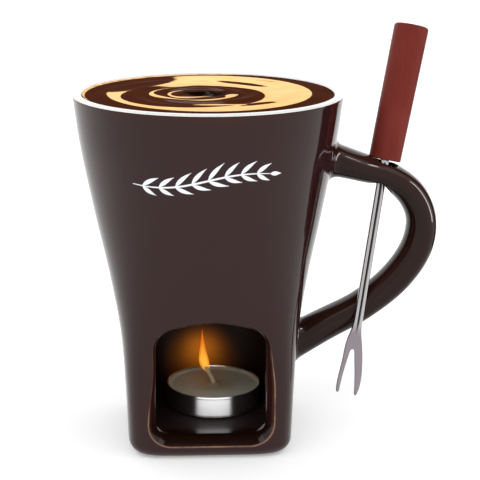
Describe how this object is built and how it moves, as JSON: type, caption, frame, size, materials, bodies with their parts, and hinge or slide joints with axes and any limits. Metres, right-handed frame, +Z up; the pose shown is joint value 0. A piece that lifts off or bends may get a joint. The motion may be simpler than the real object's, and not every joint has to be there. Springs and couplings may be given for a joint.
{
  "type": "fondue mug set",
  "caption": "Flared ceramic fondue mug with a tealight niche in its square foot and a fork hung through the handle.",
  "frame": {"origin": "middle of the flat foot, on the table plane", "axes": "+Z up the mug, -Y out of the tealight niche at the front, +X towards the handle"},
  "size_m": [0.1417, 0.1036, 0.1632],
  "materials": {
    "brown_glaze": "gloss",
    "white_glaze": "gloss",
    "aluminium": "bright",
    "wax": "satin",
    "wick": "matte",
    "steel": "polished shank, satin blade",
    "grip": "satin stain",
    "chocolate": "gloss",
    "flame": "glowing"
  },
  "bodies": {
    "mug": {"mug_body": "brown_glaze", "inner_bowl": "white_glaze", "handle": "brown_glaze"},
    "tealight": {"tealight_cup": "aluminium", "wick_sustainer": "steel", "tealight_wax": "wax", "tealight_wick": "wick"},
    "fork": {"fork_blade": "steel", "fork_grip": "grip"}
  },
  "joints": [
    {"name": "tealight_slide", "type": "slide", "parent": "mug", "child": "tealight", "axis": [-0.0598, -0.9964, 0.0598], "range_m": [0, 0.07]},
    {"name": "fork_lift", "type": "slide", "parent": "mug", "child": "fork", "axis": [0.1588, 0.1655, 0.9733], "range_m": [0, 0.11]}
  ]
}
